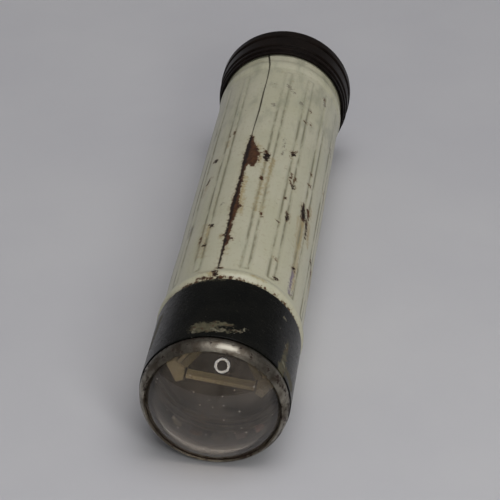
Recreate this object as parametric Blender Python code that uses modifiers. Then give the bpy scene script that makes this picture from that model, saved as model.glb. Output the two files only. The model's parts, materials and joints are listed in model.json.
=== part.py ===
"""Toy kaleidoscope: a rolled tinplate tube with a turning glass-domed front cell and a ribbed eyepiece cap.

The model is drawn standing on its cap, with +Z along the tube towards the dome, and is then laid
on its side on the floor, where it rests on the cap's rim and on the front bead. Metres, +Z up.
"""

import math

import bmesh
import bpy
from mathutils import Vector

MM = 0.001
SEGMENTS = 48  # sides of every round piece
GAP = 0.3 * MM  # clearance between neighbouring solids

# Driving dimensions. Heights are above the rear face of the cap.
BEZEL_RADIUS = 19.6 * MM
BEZEL_HEIGHT = 169.2 * MM  # the plane where the bezel meets the grip collar
TUBE_RADIUS = 19.37 * MM
TUBE_WALL = 0.5 * MM
TUBE_REAR = 3.2 * MM  # the tube's rear end, inside the cap
FRONT_BEAD = BEZEL_HEIGHT - 29.3 * MM
FRONT_BEAD_HALF = 2.2 * MM
FRONT_BEAD_RISE = 0.85 * MM  # how far the ring bead stands out of the tube
REAR_BEAD = BEZEL_HEIGHT - 149.9 * MM
REAR_BEAD_HALF = 2.6 * MM
REAR_BEAD_RISE = 0.5 * MM

COLLAR_RADIUS = 19.86 * MM
COLLAR_WALL = 0.5 * MM
COLLAR_LENGTH = 26.0 * MM
COLLAR_FRONT = BEZEL_HEIGHT - 0.6 * MM
COLLAR_REAR = COLLAR_FRONT - COLLAR_LENGTH
COLLAR_LIP_RADIUS = 18.3 * MM  # the rear lip, turned in over the tube's neck
COLLAR_CORNER = 0.6 * MM

NECK_RADIUS = 17.9 * MM
NECK_FRONT = BEZEL_HEIGHT - 13.0 * MM
NECK_REAR = BEZEL_HEIGHT - 27.0 * MM
SLEEVE_FIT_RADIUS = 19.05 * MM  # outside of the card sleeve between neck and collar
SLEEVE_FIT_MARGIN = 0.6 * MM
STOP_RING_BORE = 15.9 * MM
STOP_RING_MARGIN = 0.2 * MM

DOME_RADIUS = 24.6 * MM  # of the domed glass's outer face
DOME_WALL = 2.4 * MM
DOME_CENTRE = BEZEL_HEIGHT - 14.35 * MM
DOME_EDGE_RADIUS = 18.2 * MM
DOME_REAR = BEZEL_HEIGHT - 0.3 * MM

BEZEL_ROUND = 4.6 * MM  # radius of the bezel's sloping front, seen in section
BEZEL_ROUND_RISE = 10  # degrees that the front leans in where it leaves the side wall
BEZEL_ROUND_REACH = 50.5  # and where it ends, at the lip on the glass
BEZEL_ROUND_HEIGHT = BEZEL_HEIGHT + 0.05 * MM
BEZEL_WALL = 0.5 * MM
BEZEL_STEP = BEZEL_HEIGHT - 0.2 * MM  # where the side wall ends at the collar
BEZEL_SKIRT_RADIUS = 19.0 * MM
BEZEL_REAR = BEZEL_HEIGHT - 12.3 * MM

CELL_STACK_RADIUS = 18.2 * MM
GASKET_BORE = 16.3 * MM
GASKET_THICKNESS = 0.8 * MM
SPACER_BORE = 17.4 * MM
SPACER_LENGTH = 5.6 * MM
BACK_GLASS_THICKNESS = 1.6 * MM
SNAP_RING_BORE = 17.2 * MM
SNAP_RING_THICKNESS = 0.9 * MM

CAP_RADIUS = 21.63 * MM
CAP_LENGTH = 13.8 * MM
CAP_BORE = 19.75 * MM
CAP_END_WALL = 1.8 * MM
CAP_BOSS_RADIUS = 11.0 * MM
CAP_BOSS_BORE = 9.8 * MM
CAP_BOSS_HEIGHT = 5.6 * MM
CAP_CORNER = 0.6 * MM
CAP_SLOPE = 0.4 * MM  # height of the slope from a rib down to a groove
CAP_GROOVE_DEPTH = 0.3 * MM
CAP_GROOVES = (  # radius of the rib in front of each groove, and the groove's top and bottom
    (20.55 * MM, 12.5 * MM, 12.0 * MM),
    (20.95 * MM, 10.0 * MM, 9.5 * MM),
    (21.3 * MM, 4.2 * MM, 3.7 * MM),
)
CAP_RIM_CONTACT = 2.0 * MM  # middle of the cap's widest band
EYE_HOLE_RADIUS = 7.0 * MM
EYE_BEVEL = 0.8 * MM
EYE_GASKET_BORE = 7.4 * MM
EYE_GASKET_HEIGHT = 0.5 * MM
EYE_GLASS_HEIGHT = 1.5 * MM
EYE_RING_BORE = 8.0 * MM
EYE_RING_HEIGHT = 0.8 * MM
EYE_PLATE_HOLE = 5.5 * MM
EYE_PLATE_HEIGHT = 0.8 * MM

PRISM_SIDE = 19.2 * MM  # inner side of the triangle that the mirrors enclose
PRISM_ROLL = math.radians(-8)  # how the prism sits in the tube, its base lower on the right
PRISM_FRONT = BEZEL_HEIGHT - 18.0 * MM
PRISM_REAR = BEZEL_HEIGHT - 162.1 * MM
MIRROR_WIDTH = 18.7 * MM
MIRROR_THICKNESS = 2.0 * MM
BACKING_WIDTH = 19.1 * MM
BACKING_THICKNESS = 1.1 * MM
BAND_WIDTH = 8.0 * MM
BAND_THICKNESS = 0.5 * MM
BAND_MARGIN = 46.0 * MM  # from each end of the prism to the nearer band's middle
STRIP_BEVEL = 0.15 * MM
PACKING_LENGTH = 20.0 * MM
SLEEVE_RADIUS = 17.1 * MM
SLEEVE_WALL = 0.5 * MM
CENTRING_LOW = PRISM_REAR + 2.0 * MM
CENTRING_HIGH = PRISM_REAR + 12.0 * MM
CHIP_STRETCH = (1.25, 0.85, 1.0)
CHIP_TAPER = 0.72  # a chip's top face as a share of its bottom face
CHIP_CLEARANCE = 0.6 * MM  # at the middle of a flat chip lying in the round ring
WAD_TIP = 11.75 * MM  # from the axis to a wad's inner corner, between two strips' ends
WAD_SHOULDER = 13.7 * MM
WAD_BACK = 15.9 * MM
WAD_HALF = 3.4 * MM

TILT = math.asin((CAP_RADIUS - TUBE_RADIUS - FRONT_BEAD_RISE) / (FRONT_BEAD - CAP_RIM_CONTACT))


def clear_scene():
    for thing in list(bpy.data.objects):
        bpy.data.objects.remove(thing, do_unlink=True)


def make_collection(name):
    made = bpy.data.collections.new(name)
    bpy.context.scene.collection.children.link(made)
    return made


def make_material(name, colour, roughness, metallic=0.0, transmission=0.0):
    made = bpy.data.materials.new(name)
    made.use_nodes = True
    shader = made.node_tree.nodes["Principled BSDF"]
    shader.inputs["Base Color"].default_value = (*colour, 1.0)
    shader.inputs["Roughness"].default_value = roughness
    shader.inputs["Metallic"].default_value = metallic
    shader.inputs["Transmission Weight"].default_value = transmission
    made.diffuse_color = (*colour, 1.0)
    return made


def add_object(name, mesh, material, parent, smooth=True):
    thing = bpy.data.objects.new(name, mesh)
    PARTS.objects.link(thing)
    thing.parent = parent
    mesh.materials.clear()
    mesh.materials.append(material)
    if smooth:
        mesh.shade_smooth()
        mesh.set_sharp_from_angle(angle=math.radians(35))
    return thing


def settle(thing):
    """Turns the object's modifiers into plain mesh and smooths the round faces."""
    depsgraph = bpy.context.evaluated_depsgraph_get()
    mesh = bpy.data.meshes.new_from_object(thing.evaluated_get(depsgraph))
    material = thing.data.materials[0]
    thing.modifiers.clear()
    thing.data = mesh
    mesh.materials.clear()
    mesh.materials.append(material)
    mesh.shade_smooth()
    mesh.set_sharp_from_angle(angle=math.radians(35))


def arc(centre, radius, start, end, count):
    """Points on a circle in the profile plane, from angle start to angle end in degrees."""
    points = []
    for i in range(count + 1):
        angle = math.radians(start + (end - start) * i / count)
        points.append((centre[0] + radius * math.cos(angle), centre[1] + radius * math.sin(angle)))
    return points


def turned(name, profile, material, parent, closed=True, wall=0.0):
    """A body of revolution about Z. The profile is (radius, height) points that run down its outer side.

    A half step of turn puts a flat facet, and not an edge, underneath the lying object.
    """
    half_step = math.pi / SEGMENTS
    mesh = bpy.data.meshes.new(name)
    points = [(r * math.cos(half_step), r * math.sin(half_step), z) for r, z in profile]
    edges = [(i, i + 1) for i in range(len(points) - 1)]
    if closed:
        edges.append((len(points) - 1, 0))
    mesh.from_pydata(points, edges, [])
    thing = add_object(name, mesh, material, parent, smooth=False)
    screw = thing.modifiers.new("turn", "SCREW")
    screw.axis = "Z"
    screw.angle = 2 * math.pi
    screw.steps = SEGMENTS
    screw.render_steps = SEGMENTS
    screw.use_merge_vertices = True
    screw.merge_threshold = 0.01 * MM
    if wall:
        shell = thing.modifiers.new("wall", "SOLIDIFY")
        shell.thickness = wall
        shell.offset = -1.0
        shell.use_even_offset = True
    settle(thing)


def ring(name, inner, outer, bottom, top, material, parent):
    """A plain washer or sleeve."""
    profile = [(outer, top), (outer, bottom), (inner, bottom), (inner, top)]
    turned(name, profile, material, parent)


def disc(name, radius, bottom, top, material, parent):
    profile = [(0.0, top), (radius, top), (radius, bottom), (0.0, bottom)]
    turned(name, profile, material, parent, closed=False)


def bar(name, width, thickness, bottom, top, offset, turn, material, parent):
    """A flat strip along Z, its inner face at the given distance from the axis, turned about the axis."""
    mesh = bpy.data.meshes.new(name)
    work = bmesh.new()
    bmesh.ops.create_cube(work, size=1.0)
    bmesh.ops.scale(work, vec=(width, thickness, top - bottom), verts=work.verts)
    middle = Vector((0, -(offset + thickness / 2), (top + bottom) / 2))
    bmesh.ops.translate(work, vec=middle, verts=work.verts)
    work.to_mesh(mesh)
    work.free()
    thing = add_object(name, mesh, material, parent, smooth=False)
    thing.rotation_euler = (0, 0, turn)
    bevel = thing.modifiers.new("ground edges", "BEVEL")
    bevel.width = STRIP_BEVEL
    bevel.segments = 1


def outline(name, points, bottom, top, turn, material, parent, hole=None):
    """A flat outline in the XY plane, carried along Z."""
    curve = bpy.data.curves.new(name, "CURVE")
    curve.dimensions = "2D"
    curve.fill_mode = "BOTH"
    curve.extrude = (top - bottom) / 2
    for loop in [points] + ([hole] if hole else []):
        spline = curve.splines.new("POLY")
        spline.points.add(len(loop) - 1)
        for knot, (x, y) in zip(spline.points, loop):
            knot.co = (x, y, 0, 1)
        spline.use_cyclic_u = True
    drawn = bpy.data.objects.new(name + "_outline", curve)
    PARTS.objects.link(drawn)
    depsgraph = bpy.context.evaluated_depsgraph_get()
    mesh = bpy.data.meshes.new_from_object(drawn.evaluated_get(depsgraph))
    bpy.data.objects.remove(drawn)
    work = bmesh.new()
    work.from_mesh(mesh)
    bmesh.ops.remove_doubles(work, verts=work.verts, dist=0.001 * MM)
    bmesh.ops.recalc_face_normals(work, faces=work.faces)
    work.to_mesh(mesh)
    work.free()
    mesh.name = name
    thing = add_object(name, mesh, material, parent, smooth=False)
    thing.location = (0, 0, (top + bottom) / 2)
    thing.rotation_euler = (0, 0, turn)


def round_bead(height, half, rise):
    """The profile of a low ring bead rolled into the tube wall, from its upper end to its lower."""
    radius = (half**2 + rise**2) / (2 * rise)
    reach = math.degrees(math.asin(half / radius))
    return arc((TUBE_RADIUS + rise - radius, height), radius, reach, -reach, 6)


def make_tube_shell():
    """The tinplate tube: necked at the front for the turning cell, with a bead at each end."""
    profile = [(NECK_RADIUS, NECK_FRONT), (NECK_RADIUS, NECK_REAR)]
    profile += round_bead(FRONT_BEAD, FRONT_BEAD_HALF, FRONT_BEAD_RISE)
    profile += round_bead(REAR_BEAD, REAR_BEAD_HALF, REAR_BEAD_RISE)
    profile += [(TUBE_RADIUS, TUBE_REAR)]
    turned("tube_shell", profile, CREAM_PAINT, TUBE, closed=False, wall=TUBE_WALL)


def make_collar():
    """The black sleeve that the hand turns. Its rear lip closes over the tube's neck."""
    corner_height = COLLAR_REAR + COLLAR_CORNER
    profile = [(COLLAR_RADIUS, COLLAR_FRONT), (COLLAR_RADIUS, corner_height)]
    profile += arc((COLLAR_RADIUS - COLLAR_CORNER, corner_height), COLLAR_CORNER, -30, -90, 2)
    profile += [(COLLAR_LIP_RADIUS, COLLAR_REAR)]
    turned("grip_collar", profile, BLACK_PAINT, CELL, closed=False, wall=COLLAR_WALL)


def make_bezel():
    """The tin ring rolled over the glass's edge. Its skirt is the case of the cell, inside the collar."""
    middle = BEZEL_RADIUS - BEZEL_ROUND * math.cos(math.radians(BEZEL_ROUND_RISE))
    centre = (middle, BEZEL_ROUND_HEIGHT)
    seat = BEZEL_SKIRT_RADIUS - BEZEL_WALL
    inner_wall = BEZEL_RADIUS - BEZEL_WALL
    inner_round = BEZEL_ROUND - BEZEL_WALL
    inner_rise = math.degrees(math.acos((inner_wall - middle) / inner_round))
    profile = arc(centre, BEZEL_ROUND, BEZEL_ROUND_REACH, BEZEL_ROUND_RISE, 7)
    profile += [(BEZEL_RADIUS, BEZEL_STEP), (BEZEL_SKIRT_RADIUS, BEZEL_STEP)]
    profile += [(BEZEL_SKIRT_RADIUS, BEZEL_REAR), (seat, BEZEL_REAR)]
    profile += [(seat, BEZEL_STEP + BEZEL_WALL), (inner_wall, BEZEL_STEP + BEZEL_WALL)]
    profile += arc(centre, inner_round, inner_rise, BEZEL_ROUND_REACH, 6)
    turned("bezel_ring", profile, TIN, CELL)


def make_dome():
    """The domed glass, of even thickness like a deep watch glass, with a ground rear edge."""
    reach = math.degrees(math.acos(DOME_EDGE_RADIUS / DOME_RADIUS))
    inner = DOME_RADIUS - DOME_WALL
    inner_reach = math.degrees(math.asin((DOME_REAR - DOME_CENTRE) / inner))
    profile = arc((0, DOME_CENTRE), DOME_RADIUS, 90, reach, 10)
    profile += [(DOME_EDGE_RADIUS, DOME_REAR)]
    profile += arc((0, DOME_CENTRE), inner, inner_reach, 90, 9)
    turned("dome_glass", profile, GLASS, CELL, closed=False)


def make_cell_stack():
    """What the bezel's skirt holds behind the dome: gasket, spacer, back glass and snap ring."""
    stack = [
        ("dome_gasket", GASKET_BORE, GASKET_THICKNESS, FELT),
        ("cell_spacer_ring", SPACER_BORE, SPACER_LENGTH, TIN),
        ("cell_back_glass", 0.0, BACK_GLASS_THICKNESS, GLASS),
        ("cell_snap_ring", SNAP_RING_BORE, SNAP_RING_THICKNESS, STEEL),
    ]
    top = DOME_REAR - GAP
    for name, inner, height, material in stack:
        if inner:
            ring(name, inner, CELL_STACK_RADIUS, top - height, top, material, CELL)
        else:
            disc(name, CELL_STACK_RADIUS, top - height, top, material, CELL)
        top -= height + GAP


def make_neck_pieces():
    """The card sleeve that the collar turns on, and the ring that stops the prism at the neck."""
    sleeve_low = COLLAR_REAR + COLLAR_WALL + GAP
    sleeve_high = NECK_FRONT - SLEEVE_FIT_MARGIN
    ring("friction_sleeve", NECK_RADIUS + GAP, SLEEVE_FIT_RADIUS, sleeve_low, sleeve_high, CARD, TUBE)
    outer = NECK_RADIUS - TUBE_WALL - GAP
    stop_high = NECK_FRONT - STOP_RING_MARGIN
    ring("front_stop_ring", STOP_RING_BORE, outer, PRISM_FRONT + GAP, stop_high, DARK_CARD, TUBE)


def make_prism():
    """Three mirror strips and their card backings, set round the axis."""
    inner_face = PRISM_SIDE / (2 * math.sqrt(3))
    backing_face = inner_face + MIRROR_THICKNESS + GAP
    strips = (
        ("mirror_", MIRROR_WIDTH, MIRROR_THICKNESS, inner_face, MIRROR),
        ("backing_", BACKING_WIDTH, BACKING_THICKNESS, backing_face, CARD),
    )
    for i, side in enumerate(("base", "right", "left")):
        turn = PRISM_ROLL + i * 2 * math.pi / 3
        for kind, width, thickness, face, material in strips:
            bar(kind + side, width, thickness, PRISM_REAR, PRISM_FRONT, face, turn, material, TUBE)


def prism_loop(offset):
    """The six-sided outline round the prism, at a distance outside its mirrors' inner faces."""
    reach = PRISM_SIDE / (2 * math.sqrt(3)) + offset
    half = PRISM_SIDE / 2 + offset - MIRROR_THICKNESS - BACKING_THICKNESS - GAP
    points = []
    for i in range(3):
        turn = PRISM_ROLL + i * 2 * math.pi / 3
        for across in (-half, half):
            x = across * math.cos(turn) + reach * math.sin(turn)
            y = across * math.sin(turn) - reach * math.cos(turn)
            points.append((x, y))
    return points


def make_bands():
    """Two cloth tape bands that hold the strips together."""
    inner = MIRROR_THICKNESS + BACKING_THICKNESS + 2 * GAP
    inner_loop = prism_loop(inner)
    outer_loop = prism_loop(inner + BAND_THICKNESS)
    for name, middle in (("front", PRISM_FRONT - BAND_MARGIN), ("rear", PRISM_REAR + BAND_MARGIN)):
        low = middle - BAND_WIDTH / 2
        high = middle + BAND_WIDTH / 2
        outline("prism_band_" + name, outer_loop, low, high, 0.0, FELT, TUBE, hole=inner_loop)


def make_packings():
    """Card wads in the three corners of the prism, at both ends, that centre it in its sleeve."""
    wad = [
        (WAD_TIP, 0), (WAD_SHOULDER, -WAD_HALF), (WAD_BACK, -WAD_HALF),
        (WAD_BACK, WAD_HALF), (WAD_SHOULDER, WAD_HALF),
    ]
    for end, low in (("front", PRISM_FRONT - PACKING_LENGTH), ("rear", PRISM_REAR)):
        for i, corner in enumerate(("right", "top", "left")):
            name = "packing_" + end + "_" + corner
            turn = PRISM_ROLL - math.pi / 6 + i * 2 * math.pi / 3
            outline(name, wad, low, low + PACKING_LENGTH, turn, CARD, TUBE)


def make_sleeve():
    """The black card sleeve round the prism, and the ring that centres it at the rear."""
    bore = SLEEVE_RADIUS - SLEEVE_WALL
    ring("prism_sleeve", bore, SLEEVE_RADIUS, PRISM_REAR, PRISM_FRONT, DARK_CARD, TUBE)
    outer = TUBE_RADIUS - TUBE_WALL - GAP
    ring("rear_centring_ring", SLEEVE_RADIUS + GAP, outer, CENTRING_LOW, CENTRING_HIGH, CARD, TUBE)


def make_cap():
    """The moulded cap: ribs round the outside, an eye hole in the end, and a boss round the eye glass."""
    chamfer = 0.3 * MM
    first_rib = CAP_GROOVES[0][0]
    profile = [(CAP_BORE, CAP_LENGTH), (first_rib - chamfer, CAP_LENGTH), (first_rib, CAP_LENGTH - chamfer)]
    behind = [rib for rib, _, _ in CAP_GROOVES[1:]] + [CAP_RADIUS]
    for (rib, top, bottom), next_rib in zip(CAP_GROOVES, behind):
        profile += [(rib, top + CAP_SLOPE), (rib - CAP_GROOVE_DEPTH, top)]
        profile += [(rib - CAP_GROOVE_DEPTH, bottom), (next_rib, bottom - CAP_SLOPE)]
    profile += [(CAP_RADIUS, CAP_CORNER)]
    profile += arc((CAP_RADIUS - CAP_CORNER, CAP_CORNER), CAP_CORNER, -30, -90, 2)
    profile += [(EYE_HOLE_RADIUS + EYE_BEVEL, 0.0), (EYE_HOLE_RADIUS, EYE_BEVEL)]
    profile += [(EYE_HOLE_RADIUS, CAP_END_WALL), (CAP_BOSS_BORE, CAP_END_WALL)]
    profile += [(CAP_BOSS_BORE, CAP_BOSS_HEIGHT), (CAP_BOSS_RADIUS, CAP_BOSS_HEIGHT)]
    profile += [(CAP_BOSS_RADIUS, CAP_END_WALL), (CAP_BORE, CAP_END_WALL)]
    turned("eyepiece_cap", profile, BLACK_MOULDING, TUBE)


def make_eyepiece():
    """What the cap holds: eye glass between a felt washer and a ring, the eye plate and its cushion."""
    outer = CAP_BOSS_BORE - GAP
    bottom = CAP_END_WALL + GAP
    ring("eye_gasket", EYE_GASKET_BORE, outer, bottom, bottom + EYE_GASKET_HEIGHT, FELT, TUBE)
    bottom += EYE_GASKET_HEIGHT + GAP
    disc("eye_glass", outer, bottom, bottom + EYE_GLASS_HEIGHT, GLASS, TUBE)
    bottom += EYE_GLASS_HEIGHT + GAP
    ring("eye_glass_ring", EYE_RING_BORE, outer, bottom, bottom + EYE_RING_HEIGHT, BRASS, TUBE)
    bore = TUBE_RADIUS - TUBE_WALL - GAP
    plate_top = PRISM_REAR - GAP
    plate_bottom = plate_top - EYE_PLATE_HEIGHT
    ring("eye_plate", EYE_PLATE_HOLE, bore, plate_bottom, plate_top, DARK_CARD, TUBE)
    ring("cushion_ring", CAP_BOSS_RADIUS + GAP, bore, CAP_END_WALL + GAP, plate_bottom - GAP, FELT, TUBE)


def make_chip(name, radius, thickness, sides, behind, swing, material):
    """A loose glass chip, a tapered lump that lies on the spacer ring at the bottom of the cell.

    Behind is its distance behind the bezel plane and swing its angle from straight down.
    """
    mesh = bpy.data.meshes.new(name)
    work = bmesh.new()
    tip = CHIP_TAPER * radius
    bmesh.ops.create_cone(work, cap_ends=True, segments=sides, radius1=radius, radius2=tip, depth=thickness)
    bmesh.ops.scale(work, vec=CHIP_STRETCH, verts=work.verts)
    work.to_mesh(mesh)
    work.free()
    thing = add_object(name, mesh, material, TUBE, smooth=False)
    reach = SPACER_BORE - thickness / 2 - CHIP_CLEARANCE
    thing.location = (reach * math.sin(swing), -reach * math.cos(swing), BEZEL_HEIGHT - behind)
    thing.rotation_euler = (math.radians(-90), 0, swing)


def make_chips():
    chips = [
        ("chip_amber", 2.0, 1.3, 6, 4.6, -21, GLASS_AMBER),
        ("chip_violet", 1.9, 1.4, 5, 4.4, 23, GLASS_VIOLET),
        ("chip_smoke", 2.1, 1.2, 7, 4.5, 1, GLASS_SMOKE),
        ("chip_clear", 1.8, 1.5, 6, 4.7, -42, GLASS),
        ("chip_rose", 1.6, 1.2, 5, 4.2, 43, GLASS_ROSE),
    ]
    for name, radius, thickness, sides, behind, swing, material in chips:
        turn = math.radians(swing)
        make_chip(name, radius * MM, thickness * MM, sides, behind * MM, turn, material)


def lay_on_floor(base):
    """Lays the standing model down and moves it until its lowest point is on the floor, centred."""
    base.rotation_euler = (math.radians(90) + TILT, 0, 0)
    bpy.context.view_layer.update()
    corners = []
    for thing in PARTS.objects:
        if thing.type == "MESH":
            corners += [thing.matrix_world @ vertex.co for vertex in thing.data.vertices]
    middle_x = (min(p.x for p in corners) + max(p.x for p in corners)) / 2
    middle_y = (min(p.y for p in corners) + max(p.y for p in corners)) / 2
    base.location = (-middle_x, -middle_y, -min(p.z for p in corners))
    bpy.context.view_layer.update()


def make_empty(name, parent, height):
    made = bpy.data.objects.new(name, None)
    PARTS.objects.link(made)
    made.parent = parent
    made.location = (0, 0, height)
    return made


clear_scene()
PARTS = make_collection("kaleidoscope")

CREAM_PAINT = make_material("cream_paint", (0.62, 0.60, 0.47), 0.42)
BLACK_PAINT = make_material("black_paint", (0.012, 0.012, 0.012), 0.25)
BLACK_MOULDING = make_material("black_moulding", (0.02, 0.013, 0.011), 0.3)
TIN = make_material("tin", (0.42, 0.40, 0.38), 0.4, metallic=1.0)
STEEL = make_material("steel", (0.45, 0.45, 0.46), 0.3, metallic=1.0)
BRASS = make_material("brass", (0.62, 0.48, 0.24), 0.35, metallic=1.0)
GLASS = make_material("glass", (0.86, 0.80, 0.84), 0.03, transmission=1.0)
GLASS_AMBER = make_material("amber_glass", (0.55, 0.26, 0.05), 0.05, transmission=0.9)
GLASS_VIOLET = make_material("violet_glass", (0.30, 0.18, 0.36), 0.05, transmission=0.9)
GLASS_SMOKE = make_material("smoke_glass", (0.16, 0.13, 0.12), 0.05, transmission=0.9)
GLASS_ROSE = make_material("rose_glass", (0.50, 0.20, 0.22), 0.05, transmission=0.9)
MIRROR = make_material("mirror", (0.82, 0.84, 0.84), 0.05, metallic=1.0)
CARD = make_material("card", (0.62, 0.56, 0.42), 0.85)
DARK_CARD = make_material("dark_card", (0.03, 0.025, 0.022), 0.85)
FELT = make_material("felt", (0.10, 0.08, 0.07), 0.95)

BASE = make_empty("kaleidoscope_base", None, 0.0)
TUBE = make_empty("tube_axis", BASE, 0.0)
CELL = make_empty("front_cell_axis", BASE, 0.0)

make_tube_shell()
make_collar()
make_bezel()
make_dome()
make_cell_stack()
make_neck_pieces()
make_prism()
make_bands()
make_packings()
make_sleeve()
make_cap()
make_eyepiece()
make_chips()
lay_on_floor(BASE)
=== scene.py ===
"""Looks of the toy kaleidoscope: fine meshes, materials, floor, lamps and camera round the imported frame.

Round pieces are turned about the tube's axis. Places along it are depths behind the bezel plane, and
places round it are angles from straight up, positive towards +X. Both follow the frame's own nodes.
"""

import json
import math

import bmesh
import bpy
import numpy as np
from mathutils import Matrix, Vector


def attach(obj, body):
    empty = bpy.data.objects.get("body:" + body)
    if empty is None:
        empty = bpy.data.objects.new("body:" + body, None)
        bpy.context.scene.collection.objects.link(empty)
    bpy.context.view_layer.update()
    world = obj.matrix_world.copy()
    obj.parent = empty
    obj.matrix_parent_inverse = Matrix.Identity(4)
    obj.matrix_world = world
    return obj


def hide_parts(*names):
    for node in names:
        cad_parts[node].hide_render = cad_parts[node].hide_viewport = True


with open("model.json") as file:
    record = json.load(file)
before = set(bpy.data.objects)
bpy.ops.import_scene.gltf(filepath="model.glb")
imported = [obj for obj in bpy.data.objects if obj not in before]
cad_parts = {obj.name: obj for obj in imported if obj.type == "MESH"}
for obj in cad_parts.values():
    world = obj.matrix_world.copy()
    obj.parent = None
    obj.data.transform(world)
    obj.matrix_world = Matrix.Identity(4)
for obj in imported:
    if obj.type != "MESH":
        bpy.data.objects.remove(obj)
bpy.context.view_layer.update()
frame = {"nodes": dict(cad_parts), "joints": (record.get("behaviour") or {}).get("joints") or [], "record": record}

MM = 0.001

# ---------------- frame


def tube_frame():
    """The matrix from tube coordinates to the frame: Z runs from the cap's rear face to the dome, Y is up."""
    joint = frame["joints"][0]
    stand = frame["record"]["mounts"][0]
    ahead = -Vector(joint["axis"]).normalized()
    on_axis = Vector(joint["pos_m"])
    base = on_axis + ahead * (Vector(stand["pos_m"]) - on_axis).dot(ahead)
    side = Vector((1, 0, 0))
    made = Matrix((side, ahead.cross(side), ahead)).transposed().to_4x4()
    made.translation = base
    return made


LOCAL = tube_frame()


def node_points(node):
    """How far each of a CAD node's points is from the cap's rear face, and from the axis, in millimetres."""
    inverse = LOCAL.inverted()
    points = [inverse @ v.co / MM for v in frame["nodes"][node].data.vertices]
    return [p.z for p in points], [math.hypot(p.x, p.y) for p in points]


BEZEL_PROUD = 0.6  # millimetres in front of the collar
BEZEL_PLANE = max(node_points("grip_collar")[0]) + BEZEL_PROUD
BEZEL_CENTRE = LOCAL @ Vector((0, 0, BEZEL_PLANE * MM))


class Span:
    """A CAD node's front and rear, as depths behind the bezel plane, and its least and greatest radius."""

    def __init__(self, node):
        along, radii = node_points(node)
        self.front = BEZEL_PLANE - max(along)
        self.rear = BEZEL_PLANE - min(along)
        self.inner = min(radii)
        self.outer = max(radii)


COLLAR = Span("grip_collar")
BEZEL = Span("bezel_ring")
TUBE = Span("tube_shell")
CAP = Span("eyepiece_cap")
DOME = Span("dome_glass")

# Depths, radii and thicknesses in millimetres
FRONT_BEAD_RISE = 0.85
TUBE_RADIUS = TUBE.outer - FRONT_BEAD_RISE
NECK_RADIUS = 17.9
WALL = 0.5
FRONT_BEAD = 29.3
FRONT_BEAD_HALF = 2.2
REAR_BEAD = 149.9
REAR_BEAD_HALF = 2.6
REAR_BEAD_RISE = 0.5
NECK_STEP = FRONT_BEAD - FRONT_BEAD_HALF
CAP_MOUTH = 158  # just inside the cap, where the wall turns plain
DOME_RADIUS = 24.6
DOME_WALL = 2.4
BEZEL_ROLL = 4.6
EDGE_BEND = 0.15  # round edges of rings and sleeves
WIRE_BEND = 0.3
GLASS_BEND = 0.25

PER_DEGREE = math.radians(1) * TUBE_RADIUS  # millimetres round the wall
SEAM_PHI = -10.0  # degrees from straight up
FLUTES = 15
FLUTE_FIRST = 20.6  # degrees from the seam to the flute on each side of it
FLUTE_PITCH = (360 - 2 * FLUTE_FIRST) / (FLUTES - 1)
FLUTE_HALF = 0.75
FLUTE_FRONT = 33.4
FLUTE_REAR = 144.5
FLUTE_PRESS = 0.07

CAMERA_OFFSET = (0.05575, -0.36523, 0.28592)  # from the bezel's centre, in metres
CAMERA_YAW = -7.2526
CAMERA_PITCH = 33.0075
CAMERA_LENS = 129.6
RING_LAMP_RADIUS = 0.068
RING_LAMP_TUBE = 0.012
RING_LAMP_BEHIND = 0.02  # behind the lens
FILL_OFFSET = (0.22, -0.34, 0.28)
FILL_SIZE = 0.14
LIGHT_WAY = (0.16, -0.10, 0.98)  # towards the overhead light
LIGHT_EDGE = 0.85  # the cosine at which the overhead light starts to show
ROOM_COLOUR = (0.98, 0.968, 1.0, 1)


def height(depth):
    """The place along the tube, in metres, of a depth in millimetres behind the bezel plane."""
    return (BEZEL_PLANE - depth) * MM


def sideways(phi, from_phi):
    """How far round the tube's wall one angle is from another, in millimetres, towards +X."""
    return ((phi - from_phi + 180) % 360 - 180) * PER_DEGREE


# ---------------- colour and nodes


def linear(display_colour):
    """A linear colour from three display values, 0 to 255."""
    shares = [value / 255 for value in display_colour]
    values = [share / 12.92 if share <= 0.04045 else ((share + 0.055) / 1.055) ** 2.4 for share in shares]
    return (*values, 1.0)


class Nodes:
    """A node tree, with short calls for the nodes used here. Colours of three numbers are display values."""

    def __init__(self, tree):
        self.tree = tree

    def plug(self, socket, value):
        if isinstance(value, bpy.types.NodeSocket):
            self.tree.links.new(value, socket)
        elif socket.type == "RGBA" and len(value) == 3:
            socket.default_value = linear(value)
        else:
            socket.default_value = value

    def add(self, kind, inputs=None, **settings):
        made = self.tree.nodes.new("ShaderNode" + kind)
        for key, value in settings.items():
            setattr(made, key, value)
        for key, value in (inputs or {}).items():
            self.plug(made.inputs[key], value)
        return made

    def step(self, value, low, high, start=0.0, end=1.0):
        """A smooth rise from start to end as the value goes from low to high."""
        values = {0: value, 1: low, 2: high, 3: start, 4: end}
        return self.add("MapRange", values, interpolation_type="SMOOTHSTEP").outputs[0]


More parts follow.
